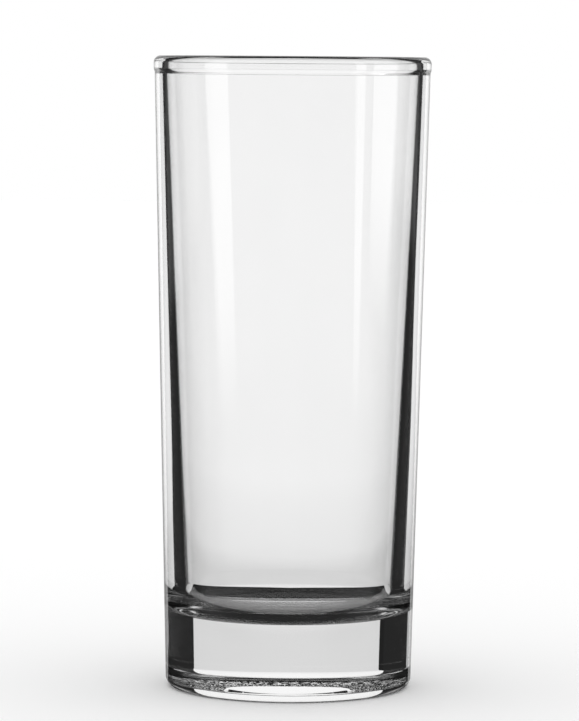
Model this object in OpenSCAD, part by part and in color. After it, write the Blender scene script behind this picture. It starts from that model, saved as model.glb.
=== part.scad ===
// Highball glass: a tall, slightly tapered tumbler of clear glass, made in one piece.
// The wall thickens downwards into a heavy solid base with a rounded heel, and the rim
// ends in a fire-polished bead.
// Millimetres, +Z up, origin on the axis in the plane the foot stands on.

/* [Body] */
// Height from the foot to the top of the rim
height = 146; // [130:1:160]
// Diameter over the rim bead
rim_d = 64; // [60:0.5:68]
// Diameter of the outer wall carried down to the standing plane
foot_d = 56.9; // [52:0.1:58]

/* [Wall] */
// Wall thickness at the rim
wall_top = 2.6; // [2:0.1:3]
// Wall thickness at the inside floor
wall_bottom = 5; // [3:0.1:6]

/* [Rim] */
// Thickness of the bead across the rim
bead_w = 3.2; // [3.2:0.1:4]
// Height of the bead's upright side between its two roundings
bead_side = 1.2; // [0.6:0.1:2.4]
// How far the bead stands out past the outer wall
bead_proud = 0.15; // [0.1:0.05:0.4]

/* [Base] */
// Height of the inside floor at its centre above the standing plane
floor_z = 15.9; // [12:0.1:28]
// How far the inside floor dips from its edge to its centre
floor_dip = 2; // [0.3:0.1:3]
// Radius inside, where the wall meets the floor
corner_r = 7.1; // [2:0.1:9]
// Radius of the rounded heel
heel_r = 2.3; // [2:0.1:5]
// Diameter of the shallow hollow under the base, in the standing plane
punt_d = 20; // [14:0.5:41]
// Width of the sloping side of the hollow
punt_slope = 1; // [0.6:0.1:4]
// Depth of the hollow under the base
punt_depth = 0.5; // [0.3:0.1:2]

/* [Hidden] */
$fn = 720;

// A rounding circle passes the straight it runs into by this much, so that the two cross
lap = 0.004;

rim_r = rim_d / 2;
foot_r = foot_d / 2;
bead_r = bead_w / 2;
bead_x = rim_r - bead_r;
bead_z = height - bead_r;

// Outer wall: a cone from the standing plane to the rim
wall_r = rim_r - bead_proud;
wall_tan = (wall_r - foot_r) / height;
wall_lean = atan(wall_tan);

// Heel: a circle that runs into the standing plane and the outer wall
heel_x = foot_r + heel_r * wall_tan - heel_r / cos(wall_lean) + lap;
heel_z = heel_r - heel_r * sin(wall_lean);

// Inner wall: a cone with the stated thickness left at the rim and at the floor
bore_rim_r = wall_r - wall_top;
bore_floor_r = foot_r + floor_z * wall_tan - wall_bottom;
bore_tan = (bore_rim_r - bore_floor_r) / (height - floor_z);
bore_lean = atan(bore_tan);
bore_foot_r = bore_floor_r - floor_z * bore_tan;

// Inside floor: a shallow dish struck from a point on the axis
dish_r = (bore_floor_r * bore_floor_r + floor_dip * floor_dip) / (2 * floor_dip);
dish_z = floor_z + dish_r;

// Inside corner: a circle that runs into the inner wall and the dish
corner_k = bore_foot_r - corner_r / cos(bore_lean);
corner_q = dish_r - corner_r;
corner_b = dish_z - corner_k * bore_tan;
corner_a = 1 + bore_tan * bore_tan;
corner_c = corner_k * corner_k + dish_z * dish_z - corner_q * corner_q;
corner_z = (corner_b - sqrt(corner_b * corner_b - corner_a * corner_c)) / corner_a;
corner_x = corner_k + corner_z * bore_tan;
corner_wall_z = corner_z - corner_r * sin(bore_lean);
corner_dish_x = corner_x * dish_r / corner_q;
corner_dish_z = dish_z - (dish_z - corner_z) * dish_r / corner_q;

// Hollow under the base: flat, with a sloping side
punt_r = punt_d / 2;
punt_top_r = punt_r - punt_slope;

function wall_at(z) = foot_r + z * wall_tan;
function bore_at(z) = bore_foot_r + z * bore_tan;

// Half section of the whole outside up to the bead
module outside() {
    polygon([
        [0, 0],
        [heel_x, 0],
        [wall_at(heel_z), heel_z],
        [wall_at(bead_z), bead_z],
        [0, bead_z]
    ]);
    translate([heel_x, heel_r])
        circle(r = heel_r);
}

// Half section of the space inside, open at the top
module inside() {
    polygon([
        [0, corner_dish_z],
        [corner_dish_x, corner_dish_z],
        [bore_at(corner_wall_z), corner_wall_z],
        [bore_at(height + 1), height + 1],
        [0, height + 1]
    ]);
    translate([corner_x + lap, corner_z])
        circle(r = corner_r);
    intersection() {
        translate([0, dish_z])
            circle(r = dish_r);
        square([corner_dish_x, corner_dish_z + lap]);
    }
}

// Half section of the hollow under the base
module punt() {
    polygon([
        [0, 0],
        [punt_r, 0],
        [punt_top_r, punt_depth],
        [0, punt_depth]
    ]);
}

// Half section of the rim bead
module bead() {
    translate([bead_x, bead_z])
        circle(r = bead_r);
    translate([bead_x, bead_z - bead_side])
        circle(r = bead_r);
    translate([bead_x - bead_r, bead_z - bead_side])
        square([bead_w, bead_side]);
}

module tumbler() {
    color("aliceblue", 0.35)
        rotate_extrude()
            union() {
                difference() {
                    outside();
                    inside();
                    punt();
                }
                bead();
            }
}

tumbler();
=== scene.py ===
import math

import bpy
from mathutils import Matrix, Vector


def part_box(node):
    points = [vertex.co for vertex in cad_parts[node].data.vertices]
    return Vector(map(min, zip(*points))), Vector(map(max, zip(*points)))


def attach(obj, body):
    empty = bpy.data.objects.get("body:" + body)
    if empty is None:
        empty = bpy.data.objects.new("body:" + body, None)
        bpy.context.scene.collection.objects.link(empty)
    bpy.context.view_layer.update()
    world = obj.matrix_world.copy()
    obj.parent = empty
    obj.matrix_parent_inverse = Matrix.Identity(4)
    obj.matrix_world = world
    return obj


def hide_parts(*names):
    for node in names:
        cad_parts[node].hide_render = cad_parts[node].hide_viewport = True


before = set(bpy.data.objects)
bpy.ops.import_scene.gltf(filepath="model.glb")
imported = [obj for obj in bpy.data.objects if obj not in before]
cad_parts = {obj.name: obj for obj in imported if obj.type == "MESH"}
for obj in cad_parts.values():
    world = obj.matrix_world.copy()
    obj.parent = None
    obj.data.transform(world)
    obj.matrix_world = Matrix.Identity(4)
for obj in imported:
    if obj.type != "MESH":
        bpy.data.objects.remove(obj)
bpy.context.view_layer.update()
MM = 0.001

# TUMBLER
# The whole glass: one body of clear soda-lime glass, formed in a mould from a single gather.
# A heavy solid base, a wall that thins upwards, and a rim cut and melted round by a flame.
# Its half section is drawn point by point and spun round the axis.
box_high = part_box("tumbler")[1]
height = box_high.z
rim_r = box_high.x
foot_r = 28.45 * MM
bead_w = 3.2 * MM
bead_side = 1.2 * MM
bead_proud = 0.15 * MM
wall_top = 2.6 * MM
wall_bottom = 5 * MM
floor_z = 15.9 * MM
floor_dip = 2 * MM
corner_r = 7.1 * MM
heel_r = 2.3 * MM
punt_r = 10 * MM
punt_slope = 1 * MM
punt_depth = 0.5 * MM
turn_steps = 360


def arc(centre, radius, start, end, steps):
    """Points of an arc in the half section, from one angle to another, in degrees."""
    turns = [math.radians(start + (end - start) * i / steps) for i in range(steps + 1)]
    return [(centre[0] + radius * math.cos(t), centre[1] + radius * math.sin(t)) for t in turns]


def straight(p, q, ease=0.4 * MM, steps=1):
    """Points of a straight run, with a close point at each end so that its shading stays straight."""
    length = math.dist(p, q)
    stops = [0.0, ease / length] + [i / steps for i in range(1, steps)] + [1 - ease / length, 1.0]
    return [(p[0] + (q[0] - p[0]) * s, p[1] + (q[1] - p[1]) * s) for s in stops]


def crossing(base_r, slope, centre, radius):
    """Lower height at which a wall line r = base_r + slope z meets a circle."""
    gap = base_r - centre[0]
    a = 1 + slope * slope
    b = gap * slope - centre[1]
    c = gap * gap + centre[1] * centre[1] - radius * radius
    return (-b - math.sqrt(b * b - a * c)) / a


wall_slope = (rim_r - bead_proud - foot_r) / height
wall_lean = math.degrees(math.atan(wall_slope))
heel = (foot_r + heel_r * wall_slope - heel_r / math.cos(math.radians(wall_lean)), heel_r)

bore_floor_r = foot_r + floor_z * wall_slope - wall_bottom
bore_slope = (rim_r - bead_proud - wall_top - bore_floor_r) / (height - floor_z)
bore_lean = math.degrees(math.atan(bore_slope))
bore_foot_r = bore_floor_r - floor_z * bore_slope

bead_r = bead_w / 2
bead_top = (rim_r - bead_r, height - bead_r)
bead_low = (rim_r - bead_r, height - bead_r - bead_side)
neck_z = crossing(foot_r, wall_slope, bead_low, bead_r)
lip_z = crossing(bore_foot_r, bore_slope, bead_low, bead_r)
neck_angle = math.degrees(math.asin((neck_z - bead_low[1]) / bead_r))
lip_angle = math.degrees(math.asin((lip_z - bead_low[1]) / bead_r))

dish_r = (bore_floor_r ** 2 + floor_dip ** 2) / (2 * floor_dip)
dish = (0.0, floor_z + dish_r)
corner_k = bore_foot_r - corner_r / math.cos(math.radians(bore_lean))
corner_z = crossing(corner_k, bore_slope, dish, dish_r - corner_r)
corner = (corner_k + corner_z * bore_slope, corner_z)
dish_angle = math.degrees(math.atan2(corner[1] - dish[1], corner[0]))

punt_top_r = punt_r - punt_slope
bend_r = (punt_slope ** 2 + punt_depth ** 2) / (4 * punt_depth)
bend = math.degrees(math.asin(punt_slope / 2 / bend_r))

heel_arc = arc(heel, heel_r, -90, -wall_lean, 30)
neck_arc = arc(bead_low, bead_r, neck_angle, 0, 10)
rim_arc = arc(bead_top, bead_r, 0, 180, 40)
lip_arc = arc(bead_low, bead_r, 180, 180 - lip_angle, 10)
corner_arc = arc(corner, corner_r, -bore_lean, dish_angle, 30)
outline = [
    *straight((0.0, punt_depth), (punt_top_r, punt_depth), steps=3),
    *arc((punt_top_r, punt_depth - bend_r), bend_r, 90, 90 - bend, 6),
    *arc((punt_r, bend_r), bend_r, 270 - bend, 270, 6),
    *straight((punt_r, 0.0), heel_arc[0], 0.1 * MM, 54),
    *heel_arc,
    *straight(heel_arc[-1], neck_arc[0]),
    *neck_arc,
    *rim_arc,
    *lip_arc,
    *straight(lip_arc[-1], corner_arc[0]),
    *corner_arc,
    *arc(dish, dish_r, dish_angle, -90, 16),
]

bpy.ops.object.select_all(action="DESELECT")
bpy.ops.mesh.primitive_plane_add(size=bead_w, location=(0, 0, 0))
tumbler = bpy.context.object
tumbler.name = tumbler.data.name = "glass_tumbler"
bpy.ops.object.mode_set(mode="EDIT")
bpy.ops.mesh.select_all(action="SELECT")
bpy.ops.mesh.merge(type="CENTER")
last = Vector((outline[0][0], 0.0, outline[0][1]))
bpy.ops.transform.translate(value=last)
for r, z in outline[1:]:
    point = Vector((r, 0.0, z))
    if (point - last).length > 1e-7:
        bpy.ops.mesh.extrude_region_move(TRANSFORM_OT_translate={"value": point - last})
        last = point
bpy.ops.mesh.select_all(action="SELECT")
bpy.ops.mesh.spin(steps=turn_steps, angle=math.tau, center=(0, 0, 0), axis=(0, 0, 1))
bpy.ops.mesh.select_all(action="SELECT")
bpy.ops.mesh.remove_doubles(threshold=0.002 * MM)
bpy.ops.mesh.normals_make_consistent(inside=False)
bpy.ops.object.mode_set(mode="OBJECT")
bpy.ops.object.shade_smooth()

# The flat ring that the glass stands on is stippled by the mould, except for a smooth border along the
# heel. The fine dimples are pressed upwards, so the border still stands flat.
stipple_step = 0.5 * MM
stipple_depth = 0.4 * MM
stipple_end = 22.6 * MM
stipple_fade = 0.6 * MM
ring = tumbler.vertex_groups.new(name="stippled_ring")
for vertex in tumbler.data.vertices:
    r = math.hypot(vertex.co.x, vertex.co.y)
    weight = min((r - punt_r) / stipple_fade, (stipple_end - r) / stipple_fade, 1.0)
    if vertex.co.z < 0.001 * MM and weight > 0:
        ring.add([vertex.index], weight, "REPLACE")
grain = bpy.data.textures.new("mould_stipple", "CLOUDS")
grain.noise_scale = stipple_step
grain.contrast = 3.0
grain.use_clamp = True
stipple = tumbler.modifiers.new("stipple", "DISPLACE")
stipple.texture = grain
stipple.texture_coords = "LOCAL"
stipple.direction = "Z"
stipple.mid_level = 0.0
stipple.strength = stipple_depth
stipple.vertex_group = ring.name
bpy.ops.object.modifier_apply(modifier=stipple.name)


def linear(hex_code):
    """An sRGB hex colour as linear red, green, blue and alpha."""
    parts = [int(hex_code[i:i + 2], 16) / 255 for i in (1, 3, 5)]
    return [p / 12.92 if p <= 0.04045 else ((p + 0.055) / 1.055) ** 2.4 for p in parts] + [1.0]


def add(tree, kind, settings=None, links=None):
    """Adds one node, sets its fields and sockets, and links its inputs."""
    node = tree.nodes.new(kind)
    for name, value in (settings or {}).items():
        if isinstance(name, int) or name in node.inputs:
            node.inputs[name].default_value = value
        else:
            setattr(node, name, value)
    for name, source in (links or {}).items():
        tree.links.new(source, node.inputs[name])
    return node


# Clear soda-lime glass, fire-polished: colourless and smooth enough to see straight through, with the
# faint long waves that the mould leaves in the wall, and rubbed dull on the ring it stands on.
wave_size = 22 * MM
wave_height = 0.004 * MM
worn_height = 0.15 * MM
clear_glass = bpy.data.materials.new("clear_soda_lime_glass")
clear_glass.use_nodes = True
tree = clear_glass.node_tree
shader = tree.nodes["Principled BSDF"]
shader.inputs["IOR"].default_value = 1.52
shader.inputs["Transmission Weight"].default_value = 1.0
place = add(tree, "ShaderNodeTexCoord").outputs["Object"]
waves = add(tree, "ShaderNodeTexNoise", {"Scale": 1 / wave_size, "Detail": 1.0}, {"Vector": place})
bump = add(tree, "ShaderNodeBump", {"Strength": 1.0, "Distance": wave_height},
           {"Height": waves.outputs["Fac"]})
tint = add(tree, "ShaderNodeMix", {"data_type": "RGBA", 6: linear("#fdfdfd"), 7: linear("#ffffff")},
           {0: waves.outputs["Fac"]})
height_up = add(tree, "ShaderNodeSeparateXYZ", links={0: place}).outputs["Z"]
worn = add(tree, "ShaderNodeMapRange", {1: 0.0, 2: worn_height, 3: 0.12, 4: 0.0}, {0: height_up})
tree.links.new(tint.outputs[2], shader.inputs["Base Color"])
tree.links.new(worn.outputs[0], shader.inputs["Roughness"])
tree.links.new(bump.outputs[0], shader.inputs["Normal"])
tumbler.data.materials.append(clear_glass)
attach(tumbler, "root")
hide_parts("tumbler")

# FLOOR
# A plain white table top under the glass. The dim patch right under the foot is a separate disc that glows
# faintly and shows only in the glass: painted shade standing in for the shaded table there.
# The glass itself is seen against the cards, so what it bends goes past the table to them.
bpy.ops.object.select_all(action="DESELECT")
bpy.ops.mesh.primitive_plane_add(size=6, location=(0, 0, 0))
floor = bpy.context.object
floor.name = "floor"
floor_paint = bpy.data.materials.new("white_table_paint")
floor_paint.use_nodes = True
shader = floor_paint.node_tree.nodes["Principled BSDF"]
shader.inputs["Base Color"].default_value = linear("#fafafa")
shader.inputs["Roughness"].default_value = 0.9
shader.inputs["Specular IOR Level"].default_value = 0.0
floor.data.materials.append(floor_paint)
floor.visible_transmission = False
floor.visible_glossy = False


def glow(name):
    """A material that only glows; returns it with its node tree and its emission node."""
    paint = bpy.data.materials.new(name)
    paint.use_nodes = True
    paint.node_tree.nodes.remove(paint.node_tree.nodes["Principled BSDF"])
    node = add(paint.node_tree, "ShaderNodeEmission", {"Color": (1, 1, 1, 1)})
    paint.node_tree.links.new(node.outputs[0], paint.node_tree.nodes["Material Output"].inputs["Surface"])
    return paint, paint.node_tree, node


def backstage(piece, paint):
    """A stage piece that only shows in the glass."""
    piece.data.materials.append(paint)
    piece.visible_camera = False
    piece.visible_diffuse = False
    piece.visible_shadow = False


# Painted shade: a disc that glows at a low level, just below the table top, is what the glass sees of the
# table under the foot.
bpy.ops.object.select_all(action="DESELECT")
bpy.ops.mesh.primitive_circle_add(vertices=96, radius=28 * MM, fill_type="NGON",
                                  location=(0, 0, -0.3 * MM))
under = bpy.context.object
under.name = "painted_shade_under_foot"
paint, tree, node = glow("painted_table_shade")
node.inputs["Strength"].default_value = 0.02
backstage(under, paint)

# BACK CARD
# The white card the glass is seen against, 473 mm wide and 330 mm behind its axis, stepped in below the table
# top and running out to a point. It is a flat plane that glows instead of being lit, so it is painted light.
# It is brightest from the foot of the glass up, and its dimmer lower band is painted shade.
card_y = 330 * MM
card_left = -239 * MM
card_right = 234 * MM
left_step = 20 * MM
left_step_base = 6 * MM
right_step = 38 * MM
card_back = 0.02
card_low = -250 * MM
card_high = 420 * MM
point_top = -50 * MM
point_half = 195 * MM
point_end = -154 * MM
low_side = 140 * MM
low_top = -60 * MM
flag_low = 165 * MM
bpy.ops.object.select_all(action="DESELECT")
bpy.ops.mesh.primitive_plane_add(size=1, location=(0, 0, 0))
card = bpy.context.object
card.name = "back_card"
bpy.ops.object.mode_set(mode="EDIT")
bpy.ops.mesh.select_all(action="SELECT")
bpy.ops.transform.rotate(value=math.pi / 2, orient_axis="X", center_override=(0, 0, 0))
bpy.ops.transform.resize(value=(card_right - card_left, 1, card_high - card_low), center_override=(0, 0, 0))
bpy.ops.transform.translate(value=((card_left + card_right) / 2, card_y, (card_low + card_high) / 2))
bpy.ops.object.mode_set(mode="OBJECT")
paint, tree, node = glow("painted_light_card")
spot = add(tree, "ShaderNodeSeparateXYZ", links={0: add(tree, "ShaderNodeTexCoord").outputs["Object"]})
level = add(tree, "ShaderNodeMapRange", {1: card_low, 2: card_high}, {0: spot.outputs["Z"]})
# Painted shade: the glow is dimmer from 115 mm to 25 mm below the table top, brighter again further down, and
# full from just above the foot of the glass up.
shade = add(tree, "ShaderNodeValToRGB", links={0: level.outputs[0]})
stops = [(-130, 0.95), (-115, 0.76), (-25, 0.76), (-21, 0.82), (-17, 0.91), (0, 0.96), (7, 1.0)]
ramp = shade.color_ramp.elements
while len(ramp) < len(stops):
    ramp.new(0.5)
for stop, (z, value) in zip(ramp, stops):
    stop.position = (z * MM - card_low) / (card_high - card_low)
    stop.color = (value, value, value, 1)


def sums(tree, operation, a, b=0.0):
    """One sum of two values, each a number or a socket."""
    node = add(tree, "ShaderNodeMath", {"operation": operation})
    for slot, value in enumerate((a, b)):
        if isinstance(value, (int, float)):
            node.inputs[slot].default_value = value
        else:
            tree.links.new(value, node.inputs[slot])
    return node.outputs[0]


def step(tree, value, start, end, low=0.0, high=1.0):
    """A smooth step of a value from low at start to high at end."""
    settings = {"interpolation_type": "SMOOTHSTEP", 1: start, 2: end, 3: low, 4: high}
    return add(tree, "ShaderNodeMapRange", settings, {0: value}).outputs[0]


def times(tree, *values):
    """The product of several values."""
    total = values[0]
    for value in values[1:]:
        total = sums(tree, "MULTIPLY", total, value)
    return total


def without(tree, value):
    """What is left of one when a value is taken off."""
    return sums(tree, "SUBTRACT", 1.0, value)


# The outline of the card, with edges that step in a little below the table top. How many surfaces a
# ray has met tells a straight view through the glass (even) from a mirrored one (odd).
across, up = spot.outputs["X"], spot.outputs["Z"]
aside = sums(tree, "ABSOLUTE", across)
half = add(tree, "ShaderNodeMapRange", {1: point_end, 2: point_top, 3: 0.0, 4: point_half}, {0: up}).outputs[0]
shape = sums(tree, "MAXIMUM", sums(tree, "LESS_THAN", aside, half),
             sums(tree, "GREATER_THAN", up, point_top))
bends = add(tree, "ShaderNodeLightPath").outputs["Ray Depth"]
odd = sums(tree, "MODULO", bends, 2.0)
even = without(tree, odd)
left_steps = sums(tree, "ADD", times(tree, even, left_step_base), left_step)
left_edge = sums(tree, "ADD", card_left, times(tree, left_steps, step(tree, up, 0, -30 * MM)))
right_edge = sums(tree, "SUBTRACT", card_right, times(tree, odd, step(tree, up, 60 * MM, 0, 0.0, right_step)))
shape = times(tree, shape, sums(tree, "GREATER_THAN", across, left_edge),
              sums(tree, "LESS_THAN", across, right_edge))
# Rays that have met many surfaces only find the middle of the card, and those turned up find it cut off by a
# dark flag, a painted dark edge on the glowing card. Low down it fades a little to its sides, which is painted
# shade. It is also dimmer in the outer face of the glass, a painted dimming of that reflection.
spread = sums(tree, "ADD", aside, step(tree, up, 60 * MM, 0, 0.0, 40 * MM))
through = sums(tree, "MAXIMUM", sums(tree, "LESS_THAN", bends, 4.5), step(tree, spread, 155 * MM, 120 * MM))
through = times(tree, through, sums(tree, "LESS_THAN", bends, 8.5))
fade = times(tree, even, step(tree, aside, 0, 110 * MM), step(tree, up, 60 * MM, 0, 0.0, 0.04),
             step(tree, up, -32 * MM, -24 * MM, 0.4, 1.0))
glance = times(tree, sums(tree, "LESS_THAN", bends, 1.5), step(tree, aside, 190 * MM, 130 * MM, 0.0, 0.45))
# Pale patches of painted light at both lower sides, for the views from above.
low_patch = times(tree, sums(tree, "GREATER_THAN", aside, low_side), sums(tree, "LESS_THAN", up, low_top),
                  sums(tree, "COMPARE", bends, 4.0))
below_flag = sums(tree, "MAXIMUM", sums(tree, "LESS_THAN", bends, 2.5), sums(tree, "LESS_THAN", up, flag_low))
lit = times(tree, shape, through, below_flag, without(tree, fade), without(tree, glance))
lit = sums(tree, "MAXIMUM", sums(tree, "MAXIMUM", lit, low_patch), card_back)
tree.links.new(shade.outputs[0], node.inputs["Color"])
tree.links.new(lit, node.inputs["Strength"])
backstage(card, paint)

# STUDIO
# Plain soft light all round for the table. In the glass the room is dim, with strip softboxes at
# the front left and right, a softbox over the camera, a side panel for the view from the right, and
# pale patches for views from above.
world = bpy.data.worlds.new("studio")
bpy.context.scene.world = world
world.use_nodes = True
sky = world.node_tree
sky.nodes.clear()
way = add(sky, "ShaderNodeSeparateXYZ", links={0: add(sky, "ShaderNodeTexCoord").outputs["Generated"]})
turn = sums(sky, "DEGREES", sums(sky, "ARCTAN2", way.outputs["X"], way.outputs["Y"]))
rise = sums(sky, "DEGREES", sums(sky, "ARCSINE", way.outputs["Z"]))
path = add(sky, "ShaderNodeLightPath")


def window(value, start, end, soft):
    """One inside a range of a value and nought outside it, with soft edges."""
    return times(sky, step(sky, value, start - soft, start + soft), step(sky, value, end + soft, end - soft))


def brightest(*values):
    """The largest of several values."""
    total = values[0]
    for value in values[1:]:
        total = sums(sky, "MAXIMUM", total, value)
    return total


to_side = sums(sky, "ABSOLUTE", turn)
left_turn = sums(sky, "MULTIPLY", turn, -1.0)
bends = sums(sky, "SUBTRACT", path.outputs["Ray Depth"], 1.0)
odd = sums(sky, "MODULO", bends, 2.0)
even = without(sky, odd)
mirrored = sums(sky, "LESS_THAN", bends, 3.5)
inner_face = sums(sky, "COMPARE", bends, 3.0)
solid_base = sums(sky, "COMPARE", bends, 2.0)

room = times(sky, step(sky, to_side, 88, 104), window(rise, -10, 60, 0.6), 0.4,
             without(sky, times(sky, inner_face, step(sky, rise, -3.9, -3.4))))
overhead = times(sky, step(sky, to_side, 122, 138), window(rise, 22, 56, 2), without(sky, mirrored), 0.75)
ceiling = times(sky, step(sky, to_side, 40, 60), window(rise, 18, 45, 4), mirrored, 0.5)

# Strip softboxes. They are seen twice, in the outer and in the inner face of the wall; the second is
# moved over the first, and both narrow and end downwards.
strip_left = sums(sky, "ADD", left_turn, times(sky, inner_face, 5.0))
strip_right = sums(sky, "ADD", turn, times(sky, inner_face, 5.0))
strip_rise = sums(sky, "ADD", rise, times(sky, inner_face, 2.3))
drop = sums(sky, "MAXIMUM", sums(sky, "SUBTRACT", -2.7, strip_rise), 0.0)
reach = times(sky, step(sky, strip_rise, -9.0, -5.2), step(sky, rise, 42, 38), mirrored)
left_strip = times(sky, step(sky, sums(sky, "SUBTRACT", strip_left, times(sky, drop, 2.9)), 100.5, 103.5),
                   step(sky, sums(sky, "SUBTRACT", strip_left, times(sky, drop, 1.5)), 126, 124), reach, 1.5)
thin_strip = times(sky, step(sky, strip_right, 116, 118),
                   step(sky, sums(sky, "ADD", strip_right, times(sky, drop, 0.9)), 128, 126), reach, 1.5)
wide_strip = times(sky, step(sky, sums(sky, "SUBTRACT", strip_right, times(sky, drop, 2.0)), 79.5, 82.5),
                   step(sky, strip_right, 110, 108), step(sky, strip_rise, -7.0, -3.6), reach, 1.5)
left_fill = times(sky, window(left_turn, 47, 95, 3), window(strip_rise, -4.6, 10, 0.6), odd, 0.32)
right_fill = times(sky, window(turn, 47, 80, 3), window(strip_rise, -3.7, 10, 0.6), odd, 0.42)

side_in = sums(sky, "SUBTRACT", left_turn, times(sky, solid_base, 8.0))
side_panel = times(sky, step(sky, side_in, 59, 61), step(sky, left_turn, 121, 119),
                   window(rise, -11, 12, 1), even, 0.8)
down_left = times(sky, window(left_turn, 15, 75, 1), window(rise, -34, -12.5, 1), even, 0.8)
down_right = times(sky, window(turn, 105, 165, 1), window(rise, -28, -11, 1), even, 0.8)
lights = brightest(room, overhead, ceiling, left_strip, thin_strip, wide_strip, left_fill, right_fill,
                   side_panel, down_left, down_right)
bent = brightest(times(sky, lights, sums(sky, "LESS_THAN", bends, 8.5)), 0.02)

in_glass = sums(sky, "MAXIMUM", path.outputs["Is Transmission Ray"], path.outputs["Is Glossy Ray"])
seen = add(sky, "ShaderNodeMix", {2: 1.06}, {0: in_glass, 3: bent})
seen = add(sky, "ShaderNodeMix", {3: 1.0}, {0: path.outputs["Is Camera Ray"], 2: seen.outputs[0]})
background = add(sky, "ShaderNodeBackground", {"Color": (1, 1, 1, 1)}, {"Strength": seen.outputs[0]})
add(sky, "ShaderNodeOutputWorld", links={"Surface": background.outputs[0]})

# CAMERA
# About a metre away at the height of the rim, tilted down to the middle of the glass.
camera_data = bpy.data.cameras.new("camera")
camera = bpy.data.objects.new("camera", camera_data)
bpy.context.scene.collection.objects.link(camera)
camera_data.lens = 205.4
camera_data.sensor_width = 36.0
camera.location = (-0.22 * MM, -0.95, height + 2 * MM)
tilt = math.radians(4.35)
roll = math.radians(0.437)
camera.matrix_world = (
    Matrix.Translation(camera.location)
    @ Matrix.Rotation(math.pi / 2 - tilt, 4, "X")
    @ Matrix.Rotation(roll, 4, "Z")
)
bpy.context.scene.camera = camera
bpy.context.scene.view_settings.view_transform = "Standard"
bpy.context.scene.cycles.max_bounces = 32
bpy.context.scene.cycles.transmission_bounces = 32
bpy.context.scene.cycles.glossy_bounces = 32
